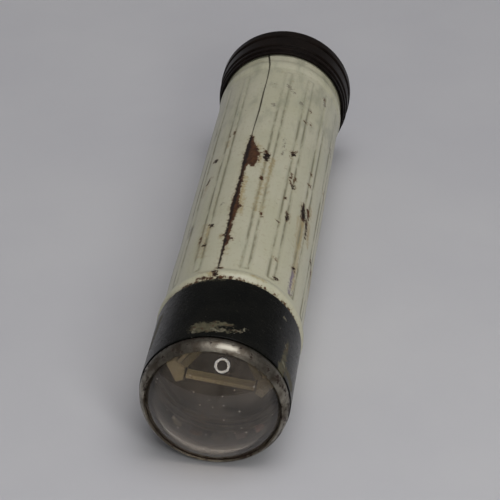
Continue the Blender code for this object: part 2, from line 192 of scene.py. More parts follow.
class Graph(Nodes):
    """A material's nodes. Lengths are in millimetres. colour is the base colour as far as it is built."""

    def __init__(self, name):
        self.material = bpy.data.materials.new(name)
        self.material.use_nodes = True
        super().__init__(self.material.node_tree)
        self.shader = self.tree.nodes["Principled BSDF"]
        self.output = self.tree.nodes["Material Output"]
        self.place = self.add("TexCoord").outputs["Object"]
        self.colour = None

    def set(self, **inputs):
        """Sets or links the Principled shader's sockets, named with underscores for spaces."""
        for key, value in inputs.items():
            self.plug(self.shader.inputs[key.replace("_", " ")], value)

    def stretched(self, across=1.0, along=1.0):
        """Object coordinates in millimetres, scaled across and along the tube."""
        scale = (across / MM, across / MM, along / MM)
        return self.add("Mapping", {"Vector": self.place, "Scale": scale}).outputs[0]

    def unrolled(self, across=1.0, along=1.0):
        """The turned piece's surface laid flat, in millimetres, scaled round and along the tube."""
        flat = self.add("UVMap", uv_map="Unrolled").outputs[0]
        return self.add("Mapping", {"Vector": flat, "Scale": (across, along, 1)}).outputs[0]

    def noise(self, size, place=None, detail=3.0, roughness=0.55):
        """Noise from 0 to 1 with features of about that size."""
        where = place or self.stretched()
        values = {"Vector": where, "Scale": 1 / size, "Detail": detail, "Roughness": roughness}
        return self.add("TexNoise", values).outputs[0]

    def cells(self, size):
        """Distance from the nearest of many scattered points, as a share of their spacing."""
        values = {"Vector": self.stretched(), "Scale": 1 / size}
        return self.add("TexVoronoi", values).outputs["Distance"]

    def maths(self, operation, first, second=0.0, clamp=False):
        return self.add("Math", {0: first, 1: second}, operation=operation, use_clamp=clamp).outputs[0]

    def times(self, first, second, clamp=False):
        return self.maths("MULTIPLY", first, second, clamp)

    def plus(self, first, second, clamp=False):
        return self.maths("ADD", first, second, clamp)

    def minus(self, first, second):
        return self.maths("SUBTRACT", first, second)

    def larger(self, first, second):
        return self.maths("MAXIMUM", first, second)

    def mix(self, share, first, second):
        """A colour that goes from the first to the second as the share goes from 0 to 1."""
        return self.add("Mix", {0: share, 6: first, 7: second}, data_type="RGBA").outputs[2]

    def coat(self, share, colour):
        """Lays a colour over the base colour, by that share."""
        self.colour = self.mix(share, self.colour, colour)

    def mark(self, name):
        """A value painted on the mesh's points."""
        return self.add("Attribute", attribute_name=name).outputs["Fac"]

    def edge(self, name, wobble, softness=0.12):
        """1 inside a painted mark, with its outline broken up by the wobble noise."""
        return self.step(self.plus(self.mark(name), wobble), -softness, softness)

    def centred(self, noise, reach):
        """A noise moved to run from -reach to reach."""
        return self.step(noise, 0.25, 0.75, -reach, reach)

    def bump(self, relief, depth):
        """Bends the surface's normal by a relief from 0 to 1 that is worth depth millimetres."""
        self.set(Normal=self.add("Bump", {"Height": relief, "Distance": depth * MM}).outputs[0])


# ---------------- materials


def cream_enamel():
    """Old cream enamel on tinplate: mottled, grimed along the flutes, chipped, and rusted at the seam."""
    g = Graph("cream_enamel")
    fine = g.noise(0.45, detail=5, roughness=0.65)
    small = g.noise(1.6, detail=4, roughness=0.6)
    clouds = g.noise(17, detail=3)
    drawn = g.noise(1.1, g.unrolled(1, 0.06), detail=4, roughness=0.65)
    wobble = g.centred(g.noise(0.9, detail=4, roughness=0.7), 0.75)

    g.colour = g.mix(g.step(clouds, 0.3, 0.7), (192, 190, 162), (199, 196, 172))
    g.coat(g.step(g.noise(6.5, g.unrolled(1, 0.35)), 0.52, 0.75, 0, 0.45), (181, 184, 158))
    g.coat(g.step(drawn, 0.5, 0.8, 0, 0.35), (172, 169, 138))

    stain = g.edge("stain", wobble, 0.9)
    g.coat(g.times(stain, g.step(drawn, 0.3, 0.6, 0.35, 0.9)), (163, 143, 95))

    broken = g.step(g.noise(3.6, g.unrolled(1, 0.22), detail=5, roughness=0.7), 0.36, 0.62)
    grime = g.times(g.mark("grime"), g.step(broken, 0.0, 1.0, 0.25, 1.25))
    g.coat(g.times(grime, 0.9, clamp=True), (133, 130, 106))
    smudged = g.times(g.step(g.noise(4.5, g.unrolled(1, 0.4), detail=4), 0.45, 0.7), g.mark("smudge"))
    g.coat(g.times(smudged, 0.6), (150, 151, 128))

    specks = g.times(g.step(g.cells(3.3), 0.10, 0.05), g.step(g.noise(11), 0.5, 0.62))
    freckles = g.times(g.step(g.cells(1.4), 0.13, 0.07), g.step(g.mark("grime"), 0.05, 0.5, 0.0, 1.0))
    g.coat(g.times(specks, 0.75), (104, 97, 83))
    g.coat(g.times(freckles, g.step(small, 0.45, 0.6)), (112, 107, 92))

    scuff = g.edge("scuff", wobble, 0.3)
    g.coat(g.times(scuff, g.step(drawn, 0.3, 0.55, 0.4, 0.85)), (120, 114, 100))
    violet = g.edge("violet", wobble, 0.3)
    g.coat(g.times(violet, g.step(drawn, 0.3, 0.55, 0.45, 0.95)), (122, 110, 128))

    ragged = g.times(wobble, 0.6)
    # On the tube these rust marks are rust only, with no painted shade.
    rust_field = g.larger(g.mark("rust"), g.mark("burst"))
    halo = g.step(g.plus(g.plus(rust_field, 0.3), wobble), -0.5, 0.5)
    g.coat(g.times(halo, 0.5), (154, 134, 98))
    rust = g.larger(g.edge("rust", wobble), g.edge("burst", ragged))
    core = g.larger(g.edge("core", wobble, 0.35), g.edge("burst_core", ragged, 0.3))
    warm = g.mix(g.step(small, 0.35, 0.65), (88, 54, 28), (58, 34, 17))
    warm = g.mix(g.step(fine, 0.55, 0.7, 0, 0.6), warm, (122, 84, 44))
    dark = g.mix(g.step(fine, 0.4, 0.7), (24, 14, 8), (46, 27, 14))
    line = g.edge("seam", g.centred(fine, 0.08), 0.2)
    g.coat(line, (56, 50, 34))
    g.coat(rust, g.mix(core, warm, dark))
    unpainted = g.mark("unpainted")
    g.coat(unpainted, g.mix(g.step(small, 0.3, 0.7), (66, 61, 54), (48, 43, 37)))

    paint_rough = g.step(clouds, 0.25, 0.75, 0.34, 0.46)
    worn_rough = g.step(grime, 0.0, 1.0, 0.0, 0.22)
    rough = g.plus(paint_rough, worn_rough)
    rust_or_line = g.larger(rust, line)
    rough_mix = g.step(rust_or_line, 0.0, 1.0, 0.0, 0.45)
    g.set(Base_Color=g.colour, Roughness=g.plus(rough, rough_mix, clamp=True), IOR=1.5)
    bare_of_coat = g.larger(rust_or_line, unpainted)
    g.set(Coat_Weight=g.step(bare_of_coat, 0.2, 0.8, 0.25, 0.0), Coat_Roughness=0.16)
    pitted = g.times(rust, g.step(fine, 0.3, 0.75, 0.2, 0.9))
    relief = g.minus(g.step(small, 0.2, 0.8, 0.45, 0.5), g.times(rust, 0.3))
    relief = g.plus(relief, g.times(pitted, 0.35))
    relief = g.minus(relief, g.times(freckles, 0.15))
    g.bump(relief, 0.35)
    return g.material


def black_enamel():
    """Gloss black enamel on tinplate, rubbed and flaked to beige primer and bare metal at the front."""
    g = Graph("black_enamel")
    fine = g.noise(0.4, detail=5, roughness=0.65)
    small = g.noise(1.5, detail=4, roughness=0.6)
    clouds = g.noise(9)
    wobble = g.centred(g.noise(0.8, detail=4, roughness=0.7), 0.8)
    hairlines = g.step(g.noise(0.5, g.unrolled(0.08, 1), detail=5, roughness=0.7), 0.6, 0.72)
    streaks = g.step(g.noise(0.9, g.unrolled(1, 0.08), detail=4, roughness=0.7), 0.58, 0.8)

    g.colour = g.mix(g.step(clouds, 0.3, 0.7), (13, 14, 12), (21, 21, 18))
    g.coat(g.times(hairlines, 0.12), (62, 62, 58))
    g.coat(g.times(streaks, 0.10), (52, 52, 48))
    dust = g.times(g.step(g.cells(2.3), 0.09, 0.05), g.step(clouds, 0.45, 0.6))
    g.coat(g.times(dust, 0.7), (120, 118, 108))
    # On the collar these strokes are rubbed wear only, and the rust within them is real rust.
    rubbed = g.edge("rubbed", wobble, 0.5)
    g.coat(g.times(rubbed, g.step(small, 0.3, 0.6, 0.4, 0.9)), (97, 93, 74))
    bare = g.edge("bare", wobble, 0.15)
    g.coat(bare, g.mix(g.step(fine, 0.35, 0.65), (158, 157, 136), (116, 108, 90)))
    rust = g.times(rubbed, g.step(g.noise(1.1), 0.56, 0.64))
    g.coat(g.times(rust, 0.7), (74, 46, 32))

    gloss = g.step(small, 0.2, 0.8, 0.2, 0.34)
    dulled = g.times(g.larger(rubbed, g.larger(bare, rust)), 0.3)
    marks = g.times(g.larger(hairlines, streaks), 0.14)
    rough = g.plus(g.plus(gloss, marks), dulled)
    g.set(Base_Color=g.colour, Roughness=rough, Metallic=g.times(bare, 0.55), IOR=1.22)
    relief = g.minus(g.step(small, 0.2, 0.8, 0.4, 0.5), g.times(bare, 0.35))
    relief = g.minus(relief, g.times(hairlines, 0.06))
    g.bump(relief, 0.2)
    return g.material


def black_moulding():
    """Brown-black gloss moulding with handling scratches, patches of dust and rubbed rib tops."""
    g = Graph("black_moulding")
    small = g.noise(1.3, detail=4, roughness=0.6)
    clouds = g.noise(8)
    hairlines = g.step(g.noise(0.35, g.unrolled(0.1, 1), detail=5, roughness=0.7), 0.62, 0.74)
    g.colour = g.mix(g.step(clouds, 0.3, 0.7), (13, 10, 8), (23, 17, 14))
    ridge = g.edge("ridge", g.centred(g.noise(1.0, detail=4), 0.8), 0.6)
    g.coat(g.times(ridge, 0.15), (52, 42, 36))
    g.coat(g.times(g.step(small, 0.55, 0.75), 0.15), (66, 60, 50))
    g.coat(g.times(hairlines, 0.16), (80, 72, 66))
    rough = g.plus(g.step(clouds, 0.25, 0.75, 0.3, 0.44), g.times(hairlines, 0.18))
    g.set(Base_Color=g.colour, Roughness=rough, IOR=1.17)
    g.bump(g.minus(g.step(small, 0.2, 0.8, 0.4, 0.6), g.times(hairlines, 0.2)), 0.08)
    return g.material


def worn_metal(name, bright, dull, spots, rough, pits, marked=False):
    """Dull plated metal with turning marks, tarnish clouds and small pits of that colour.

    A marked piece also has painted rust, a painted shade along its underside, and a painted highlight: a lighter
    patch of rubbed tin where the lamp's reflection falls.
    """
    g = Graph(name)
    fine = g.noise(0.35, detail=5, roughness=0.65)
    clouds = g.noise(3.2, detail=4, roughness=0.6)
    turning = g.noise(0.3, g.unrolled(0.05, 1), detail=3)
    g.colour = g.mix(g.step(clouds, 0.3, 0.7), bright, dull)
    g.coat(g.step(fine, 0.5, 0.75, 0, 0.4), dull)
    pit = g.step(g.noise(1.7, detail=4, roughness=0.7), 1 - pits, 1.04 - pits)
    if marked:
        wobble = g.centred(g.noise(0.8, detail=4), 0.6)
        # painted rust, and on the bezel's underside painted shade, take the pits' dark colour
        pit = g.larger(pit, g.edge("rust", wobble, 0.3))
        # painted highlight: these strokes lighten the tin where the lamp's reflection falls on the bezel's roll
        g.coat(g.edge("rubbed", wobble, 0.5), (158, 154, 141))
    g.coat(pit, spots)
    roughness = g.step(clouds, 0.25, 0.75, rough - 0.08, rough + 0.1)
    roughness = g.plus(roughness, g.step(turning, 0.3, 0.7, -0.05, 0.05))
    roughness = g.plus(roughness, g.times(pit, 0.35))
    g.set(Base_Color=g.colour, Roughness=roughness, Metallic=g.step(pit, 0.0, 1.0, 1.0, 0.25))
    relief = g.plus(g.step(fine, 0.2, 0.8, 0.3, 0.5), g.times(turning, 0.12))
    g.bump(g.minus(relief, g.times(pit, 0.35)), 0.12)
    return g.material


def glass(name, tint, haze=0.02, worn=0.5):
    """Polished old glass with a film of dust, fine scratches and small chips. It lets lamplight through."""
    g = Graph(name)
    fine = g.noise(0.5, detail=5, roughness=0.7)
    clouds = g.noise(7, detail=3)
    scratches = g.step(g.noise(0.22, g.stretched(1, 0.06), detail=4, roughness=0.7), 0.66, 0.74)
    dots = g.step(g.cells(3.1), 0.09, 0.055)
    film = g.times(g.step(clouds, 0.25, 0.7), g.step(fine, 0.3, 0.7, 0.2, 1.1))
    film = g.plus(g.times(film, worn), g.times(scratches, worn * 0.6))
    rough = g.plus(haze, g.times(g.plus(scratches, dots), 0.2), clamp=True)
    g.set(Base_Color=tint, Roughness=rough, IOR=1.5, Transmission_Weight=1.0)
    g.bump(g.plus(g.step(clouds, 0, 1, 0.4, 0.6), g.times(dots, 0.2)), 0.02)
    dusty = g.add("BsdfDiffuse", {"Color": (196, 186, 176)}).outputs[0]
    clear = g.add("BsdfTransparent", {"Color": (250, 247, 243)}).outputs[0]
    dust_share = g.plus(g.times(film, 0.10), g.times(dots, 0.55), clamp=True)
    body = g.add("MixShader", {0: dust_share, 1: g.shader.outputs[0], 2: dusty}).outputs[0]
    shadow = g.add("LightPath").outputs["Is Shadow Ray"]
    g.plug(g.output.inputs["Surface"], g.add("MixShader", {0: shadow, 1: body, 2: clear}).outputs[0])
    return g.material


def mirror_strip():
    """Silvered glass strip: specked silvering on the long faces, pale ground ends and edges."""
    g = Graph("mirror_strip")
    along = tuple(LOCAL.col[2][:3])
    normal = g.add("NewGeometry").outputs["True Normal"]
    facing = g.add("VectorMath", {0: normal, 1: along}, operation="DOT_PRODUCT").outputs["Value"]
    end = g.step(g.maths("ABSOLUTE", facing), 0.5, 0.6)
    fine = g.noise(0.5, detail=4)
    silver = g.mix(g.step(g.noise(9), 0.45, 0.8, 0, 0.5), (214, 217, 214), (176, 172, 160))
    specks = g.step(g.cells(4), 0.06, 0.03)
    silver = g.mix(specks, silver, (66, 58, 50))
    ground = g.mix(g.step(fine, 0.3, 0.7), (196, 190, 158), (168, 160, 128))
    g.set(Base_Color=g.mix(end, silver, ground), Roughness=g.step(end, 0, 1, 0.06, 0.6))
    g.set(Metallic=g.step(end, 0, 1, 1.0, 0.0))
    g.bump(g.times(fine, end), 0.1)
    return g.material


def card(name, light, dark, fibre):
    """Matt card or cloth with fibres, foxing and a soft uneven face."""
    g = Graph(name)
    grain = g.noise(fibre, g.stretched(1, 0.3), detail=5, roughness=0.7)
    foxing = g.step(g.noise(2.6, detail=4), 0.58, 0.75, 0, 0.6)
    g.colour = g.mix(g.step(grain, 0.3, 0.7), light, dark)
    g.coat(foxing, g.mix(0.5, dark, (96, 74, 48)))
    g.set(Base_Color=g.colour, Roughness=g.step(grain, 0.2, 0.8, 0.78, 0.95))
    g.bump(grain, 0.15)
    return g.material


def floor_paper():
    """A plain pale matt surface with a very faint grain."""
    g = Graph("floor_paper")
    g.set(Base_Color=g.mix(g.step(g.noise(60), 0.3, 0.7), (200, 200, 202), (204, 204, 205)))
    g.set(Roughness=g.step(g.noise(2, detail=4), 0.2, 0.8, 0.62, 0.72))
    g.bump(g.noise(0.8, detail=3), 0.02)
    return g.material


# ---------------- turned pieces


TURNED_SHARP = 50  # degrees between faces from which an edge is shaded sharp
TUBE_SHARP = 60
CORNER_STEPS = 4
CORNER_SHARE = 0.48  # of the side beside it that a corner may take, under half so that two never meet


def corner(before, point, after, radius):
    """The points of a round corner of that radius on the way from before to after."""
    here = np.array(point)
    ways = [np.array(before) - here, np.array(after) - here]
    lengths = [float(np.linalg.norm(way)) for way in ways]
    ways = [way / length for way, length in zip(ways, lengths)]
    half = math.acos(max(-1.0, min(1.0, float(ways[0] @ ways[1])))) / 2
    cut = min(radius / math.tan(half), CORNER_SHARE * min(lengths))
    start = here + ways[0] * cut
    end = here + ways[1] * cut
    shares = [i / CORNER_STEPS for i in range(CORNER_STEPS + 1)]
    return [tuple((1 - t) ** 2 * start + 2 * t * (1 - t) * here + t**2 * end) for t in shares]


def rounded(profile, closed=True):
    """(radius, depth) points of a profile of (radius, depth, corner radius) points, its corners rounded."""
    points = []
    last = len(profile) - 1
    for i, (radius, depth, bend) in enumerate(profile):
        at_end = not closed and i in (0, last)
        if not bend or at_end:
            points.append((radius, depth))
            continue
        before = profile[i - 1][:2]
        after = profile[(i + 1) % len(profile)][:2]
        points += corner(before, (radius, depth), after, bend)
    return points


def arc(centre, radius, start, end, count):
    """Points on a circle in the profile plane. Angle 0 points outward and 90 towards the dome."""
    points = []
    for i in range(count + 1):
        angle = math.radians(start + (end - start) * i / count)
        points.append((centre[0] + radius * math.cos(angle), centre[1] - radius * math.sin(angle)))
    return points


def subdivided(points, step, closed):
    """The same outline with no stretch longer than step."""
    made = []
    stretches = len(points) if closed else len(points) - 1
    for i in range(stretches):
        start = np.array(points[i])
        end = np.array(points[(i + 1) % len(points)])
        count = max(1, math.ceil(float(np.linalg.norm(end - start)) / step))
        made += [tuple(start + (end - start) * k / count) for k in range(count)]
    if not closed:
        made.append(points[-1])
    return made


def put(name, data):
    """A new object in the scene that holds the mesh, lamp or camera data."""
    made = bpy.data.objects.new(name, data)
    bpy.context.scene.collection.objects.link(made)
    return made


def add_piece(name, mesh, body, material, node):
    """Puts the mesh in the tube's frame, as a piece of that body which stands for the CAD node."""
    piece = put(name, mesh)
    piece.matrix_world = LOCAL
    mesh.materials.append(material)
    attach(piece, body)
    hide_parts(node)
    return piece


def read(items, name, width=1, kind=float):
    """One property of all of a mesh's points, corners or faces, as an array."""
    values = np.zeros(len(items) * width, kind)
    items.foreach_get(name, values)
    return values.reshape(-1, width) if width > 1 else values


def unroll(mesh):
    """A UV map of the surface laid flat, in millimetres."""
    points = read(mesh.vertices, "co", 3) / MM
    corners = read(mesh.loops, "vertex_index", kind=int)
    angle = np.arctan2(points[:, 0], points[:, 1])[corners]
    first = read(mesh.polygons, "loop_start", kind=int)
    lead = np.repeat(angle[first], read(mesh.polygons, "loop_total", kind=int))
    angle = np.where(angle - lead > math.pi, angle - 2 * math.pi, angle)
    angle = np.where(angle - lead < -math.pi, angle + 2 * math.pi, angle)
    radius = np.hypot(points[:, 0], points[:, 1])[corners]
    along = points[:, 2][corners] + radius
    layer = mesh.uv_layers.new(name="Unrolled")
    layer.data.foreach_set("uv", np.column_stack([angle * TUBE_RADIUS, along]).ravel())


def lathe_mesh(name, radius, depth, angles, sharp_degrees, closed=True, poles=()):
    """A mesh of rows round the tube, one for each row of radii and depths.

    A closed one joins its last row to its first. Otherwise it ends in two poles on the axis, at those depths.
    """
    rows = len(radius)
    columns = len(angles)
    level = np.broadcast_to(height(depth), (rows, columns))
    grid = np.stack([radius * MM * np.sin(angles), radius * MM * np.cos(angles), level], -1)
    vertices = grid.reshape(-1, 3).tolist() + [(0, 0, height(pole_depth)) for pole_depth in poles]
    index = np.arange(rows * columns).reshape(rows, columns)
    right = np.roll(index, -1, 1)
    quads = np.stack([index, right, np.roll(right, -1, 0), np.roll(index, -1, 0)], -1)
    faces = quads[:rows if closed else -1].reshape(-1, 4).tolist()
    if poles:
        pole = rows * columns
        last_row = pole - columns
        for this, following in zip(index[0].tolist(), right[0].tolist()):
            faces.append((pole, following, this))
            faces.append((pole + 1, last_row + this, last_row + following))
    mesh = bpy.data.meshes.new(name)
    mesh.from_pydata(vertices, [], faces)
    mesh.update()
    work = bmesh.new()
    work.from_mesh(mesh)
    bmesh.ops.recalc_face_normals(work, faces=work.faces)
    work.to_mesh(mesh)
    work.free()
    mesh.shade_smooth()
    mesh.set_sharp_from_angle(angle=math.radians(sharp_degrees))
    unroll(mesh)
    return mesh


def turned(node, points, body, material, closed=True, step=2.0, columns=256):
    """A body of revolution that stands for the node. An open outline starts and ends on the axis."""
    outline = np.array(subdivided(points, step, closed))
    poles = ()
    if not closed:
        outline = outline[1:-1]
        poles = (points[0][1], points[-1][1])
    angles = np.linspace(-math.pi, math.pi, columns, endpoint=False)
    mesh = lathe_mesh(node + "_fine", outline[:, :1], outline[:, 1:], angles, TURNED_SHARP, closed, poles)
    return add_piece(node + "_fine", mesh, body, material, node)


def plain_turned(node, body, material, slot, bend=EDGE_BEND, disc=False):
    """A washer, sleeve or round glass that stands for the node, with its edges rounded."""
    span = Span(node)
    inner, inner_bend = (0, 0) if disc else (span.inner, bend)
    outline = [(inner, span.front, inner_bend), (span.outer, span.front, bend), (span.outer, span.rear, bend),
               (inner, span.rear, inner_bend)]
    turned(node, rounded(outline, closed=not disc), body, material, closed=not disc, columns=160)


# ---------------- marks


def surface_points(mesh):
    """Each point's depth and its angle from straight up, in millimetres and degrees, and its radius."""
    x, y, z = (read(mesh.vertices, "co", 3) / MM).T
    return BEZEL_PLANE - z, np.degrees(np.arctan2(x, y)), np.hypot(x, y)


def marks_field(depth, phi, strokes, radius):
    """How far inside the nearest stroke each point is, in millimetres, from -1 to 1.

    A stroke is (depth, angle, depth, angle, half width, half width), from its first end to its second. One
    half width serves both ends.
    """
    field = np.full(len(depth), -1.0)
    per_degree = math.radians(1) * radius
    for depth_a, phi_a, depth_b, phi_b, *widths in strokes:
        across = ((phi - phi_a + 180) % 360 - 180) * per_degree
        along = depth - depth_a
        run = np.array([(phi_b - phi_a) * per_degree, depth_b - depth_a])
        length = max(float(run @ run), 1e-6)
        share = np.clip((across * run[0] + along * run[1]) / length, 0, 1)
        distance = np.hypot(across - share * run[0], along - share * run[1])
        field = np.maximum(field, widths[0] + (widths[-1] - widths[0]) * share - distance)
    return np.clip(field, -1, 1)


def paint(mesh, name, values):
    layer = mesh.attributes.new(name, "FLOAT", "POINT")
    layer.data.foreach_set("value", np.asarray(values, np.float32))


OUTER_FACE = 0.9  # how far inside the greatest radius the outer face may reach


def paint_marks(piece, outside, **groups):
    """Paints groups of strokes on the piece's outer face."""
    depth, phi, radius = surface_points(piece.data)
    for name, strokes in groups.items():
        field = marks_field(depth, phi, strokes, outside)
        paint(piece.data, name, np.where(radius > outside - OUTER_FACE, field, -1.0))


# ---------------- the tube


def seam_phi(depth):
    """Where the rolled tube's lap seam runs, in degrees: nearly straight, with a kink at the rear bead."""
    drift = 0.35 * np.sin(depth / 9.0) + 0.2 * np.sin(depth / 3.7 + 1.0)
    kink = -3.4 * np.clip((depth - 149.0) / 7.0, 0, 1) ** 1.2
    rise = 0.9 * np.clip((depth - 70.0) / 70.0, 0, 1)
    return SEAM_PHI + drift + rise + kink


def tube_columns():
    """Angles of the tube's mesh columns, closer together over the flutes and about the seam."""
    reach = 4.4  # degrees on each side of a flute's middle
    angles = list(SEAM_PHI + np.linspace(-5.0, 11.5, 42))
    for k in range(FLUTES):
        centre = SEAM_PHI + FLUTE_FIRST + k * FLUTE_PITCH
        angles += list(np.linspace(angles[-1], centre - reach, 8)[1:-1])
        angles += list(np.linspace(centre - reach, centre + reach, 23))
    angles += list(np.linspace(angles[-1], SEAM_PHI + 360 - 5.0, 8)[1:-1])
    return np.radians(np.array(angles))


def tube_rows():
    """Depths of the outer wall's mesh rows, closer together over the beads and the flutes' ends."""
    neck = [TUBE.front, TUBE.front + 0.25, TUBE.front + 6, NECK_STEP - 0.3]
    front = np.linspace(NECK_STEP, FLUTE_FRONT + 1.2, 26)
    middle = np.linspace(FLUTE_FRONT + 1.8, FLUTE_REAR - 1.8, 128)
    rear = np.linspace(FLUTE_REAR - 1.2, REAR_BEAD + REAR_BEAD_HALF + 4.6, 32)
    spigot = [TUBE.rear - 6, TUBE.rear - 0.25, TUBE.rear]
    return np.concatenate([neck, front, middle, rear, spigot])


def bead(depth, centre, half, rise):
    """A low swell rolled into the wall, with soft feet."""
    share = np.clip(np.abs(depth - centre) / half, 0, 1)
    return rise * (1 - share**2) ** 1.4


def wall_radius(depth):
    """The tube's plain outer radius, neck and beads included."""
    radius = np.where(depth < NECK_STEP - 0.15, NECK_RADIUS, TUBE_RADIUS)
    radius = radius + bead(depth, FRONT_BEAD, FRONT_BEAD_HALF, FRONT_BEAD_RISE)
    return radius + bead(depth, REAR_BEAD, REAR_BEAD_HALF, REAR_BEAD_RISE)


def flute_distance(depth, phi):
    """Distance in millimetres from the outline of the nearest flute, less than 0 inside it."""
    turn = ((phi - SEAM_PHI) % 360 - FLUTE_FIRST) / FLUTE_PITCH
    nearest = np.clip(np.round(turn), 0, FLUTES - 1)
    across = np.abs(turn - nearest) * FLUTE_PITCH * PER_DEGREE - FLUTE_HALF
    middle = (FLUTE_FRONT + FLUTE_REAR) / 2
    along = np.abs(depth - middle) - (FLUTE_REAR - FLUTE_FRONT) / 2
    outside = np.hypot(np.maximum(across, 0), np.maximum(along, 0))
    return outside + np.minimum(np.maximum(across, along), 0)


def smooth_step(value, low, high):
    share = np.clip((value - low) / (high - low), 0, 1)
    return share * share * (3 - 2 * share)


def dents(depth, phi):
    """Slight waves and knocks in the hand-worn wall."""
    turn = np.radians(phi)
    waves = 0.035 * np.sin(2 * turn + depth / 31) + 0.03 * np.sin(3 * turn - depth / 17 + 2)
    waves = waves + 0.02 * np.sin(5 * turn + depth / 9 + 1)
    for at_depth, at_phi, reach, depth_of in ((92, -14, 6, 0.16), (119, 38, 5, 0.12), (74, 57, 5, 0.14),
                                              (62, -70, 8, 0.2), (108, 128, 9, 0.25), (55, -140, 7, 0.2)):
        gap = np.hypot(depth - at_depth, sideways(phi, at_phi)) / reach
        waves = waves - depth_of * np.exp(-gap**2)
    return waves


def tube_relief(depth, phi):
    """What the flutes, the seam and the dents add to the wall's radius."""
    relief = np.zeros_like(depth)
    flute = flute_distance(depth, phi)
    relief += FLUTE_PRESS * smooth_step(-flute, -0.35, 0.35)
    relief -= FLUTE_PRESS * np.exp(-(((flute - 0.3) / 0.3) ** 2))
    beside = sideways(phi, seam_phi(depth))
    relief += np.where(beside > 0, 0.14 * np.exp(-beside / 2.5), -0.06 * np.exp(beside / 2.0))
    relief -= 0.11 * np.exp(-((beside / 0.22) ** 2))
    lifted = smooth_step(depth, 60, 72) * smooth_step(-depth, -100, -88)  # the lap has sprung up here
    relief += 0.3 * lifted * np.exp(-(((beside - 0.9) / 0.8) ** 2))
    relief += dents(depth, phi)
    past_neck = smooth_step(depth, NECK_STEP, NECK_STEP + 0.4)
    return relief * past_neck * smooth_step(-depth, -CAP_MOUTH - 1, 1 - CAP_MOUTH)


def seam_rust():
    """The rust that bursts from the seam: one stroke from each place along it to the next."""
    edges = [  # depth, left edge, right edge in degrees
        (103.5, -11.6, -8.6), (100, -11.8, -6.6), (96, -12.4, -4.2), (92, -13.0, -3.0),
        (88, -12.8, -4.0), (84.5, -12.0, -7.6), (79, -11.8, -8.0), (73, -12.0, -7.4),
        (67, -13.2, -6.4), (63, -13.0, -5.2), (58, -12.0, -6.8), (50, -11.6, -7.8),
        (46, -11.8, -6.4), (42, -11.0, -8.4), (37, -10.8, -9.2), (32.6, -10.6, -9.2),
    ]
    strokes = []
    for (depth_a, left_a, right_a), (depth_b, left_b, right_b) in zip(edges, edges[1:]):
        width_a = (right_a - left_a) / 2 * PER_DEGREE
        width_b = (right_b - left_b) / 2 * PER_DEGREE
        strokes.append((depth_a, (left_a + right_a) / 2, depth_b, (left_b + right_b) / 2, width_a, width_b))
    return strokes


TUBE_MARKS = {}  # strokes, as marks_field takes them
TUBE_MARKS["burst_core"] = [
    (103.5, -10.4, 97, -10.4, 0.4, 0.7), (97, -10.4, 86, -10.8, 0.8, 0.7),
    (86, -10.8, 70, -10.8, 0.4, 0.35), (70, -10.8, 62, -11.0, 0.45, 0.5),
    (62, -11.0, 46, -10.6, 0.4, 0.35), (46, -10.4, 32, -10, 0.4, 0.3),
]
TUBE_MARKS["core"] = [
    (91.9, 7.6, 90.6, 8.0, 1.3, 1.2), (95.4, -43, 94.8, -41.5, 0.7), (84.6, -43.5, 83.2, -45, 0.3),
    (55.6, -26.4, 55, -25.8, 0.7, 0.5), (45.6, -28.4, 45.2, -28.4, 0.35, 0.3), (98.6, 30, 98.2, 30.2, 0.6),
    (81.6, 36.6, 81.2, 37, 0.7), (66.4, 36.4, 64, 37.6, 0.5), (34.5, 37, 34.3, 38, 0.6),
    (77, 53, 72, 53.5, 1.0, 0.8), (70, 59.5, 65, 60.5, 0.5, 0.3), (59.8, 79, 58.6, 81.5, 0.7, 0.5),
    (45.2, 53.6, 44.6, 54, 0.5, 0.4), (30.6, -12.4, 27.4, -9.6, 0.3, 0.6),
]
